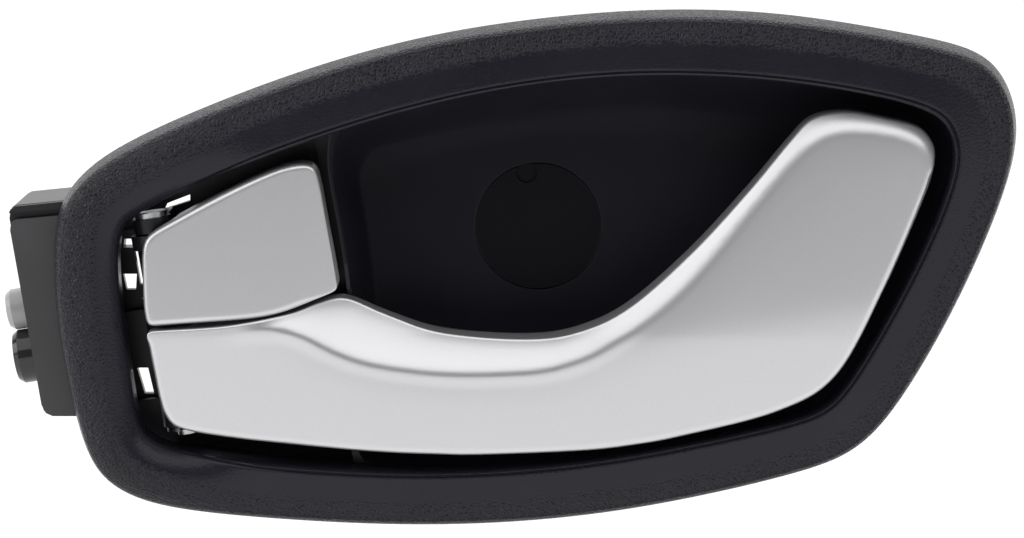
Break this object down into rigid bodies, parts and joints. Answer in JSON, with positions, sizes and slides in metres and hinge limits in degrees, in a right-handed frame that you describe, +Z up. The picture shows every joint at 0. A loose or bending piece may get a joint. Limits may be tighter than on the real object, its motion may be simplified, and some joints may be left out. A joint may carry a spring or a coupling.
{
  "type": "car interior door handle",
  "caption": "Inside door release: oval black surround with a finger bowl, a silver pull lever and a lock knob that share one leaning hinge pin.",
  "frame": {"origin": "centre of the fixing hole, on the face where the bowl's boss seats on the door's inner panel", "axes": "+X along the handle from the hinge end to the paddle, +Y into the door along the fixing hole, +Z up"},
  "size_m": [0.1925, 0.0398, 0.0976],
  "materials": {
    "grained_plastic": "fine leather grain",
    "black_plastic": "smooth satin",
    "dark_grey_plastic": "smooth satin",
    "silver_paint": "satin metallic silver paint",
    "steel": "zinc plated",
    "spring_steel": "oiled spring steel",
    "rubber": "matte",
    "foam": "open foam",
    "gloss_black_plastic": "glossy",
    "grey_plastic": "semi gloss",
    "natural_nylon": "translucent white"
  },
  "bodies": {
    "base": {"bezel": "grained_plastic", "housing": "black_plastic", "cable_cover": "dark_grey_plastic", "hinge_pin": "steel", "pin_clip": "spring_steel", "lever_spring": "spring_steel", "knob_detent_spring": "spring_steel", "lever_bumper": "rubber", "knob_bumper": "rubber", "screw_cover": "black_plastic", "housing_screws": "steel", "trim_clips": "spring_steel", "foam_seal": "foam", "release_conduit_end": "gloss_black_plastic", "lock_conduit_end": "grey_plastic"},
    "lever": {"lever_shell": "silver_paint", "lever_carrier": "black_plastic", "release_cable_clip": "natural_nylon", "paddle_pad": "foam"},
    "knob": {"knob_shell": "silver_paint", "knob_carrier": "black_plastic", "lock_cable_clip": "natural_nylon"}
  },
  "joints": [
    {"name": "lever_pull", "type": "hinge", "parent": "base", "child": "lever", "pos_m": [-0.072, -0.0295, 0], "axis": [0.1564, 0, -0.9877], "range_deg": [0, 35], "stiffness_Nm_per_rad": 0.12, "springref_deg": -34.38, "deforming": ["lever_spring"]},
    {"name": "knob_press", "type": "hinge", "parent": "base", "child": "knob", "pos_m": [-0.072, -0.0295, 0], "axis": [-0.1564, 0, 0.9877], "range_deg": [0, 13], "deforming": ["knob_detent_spring"]}
  ]
}
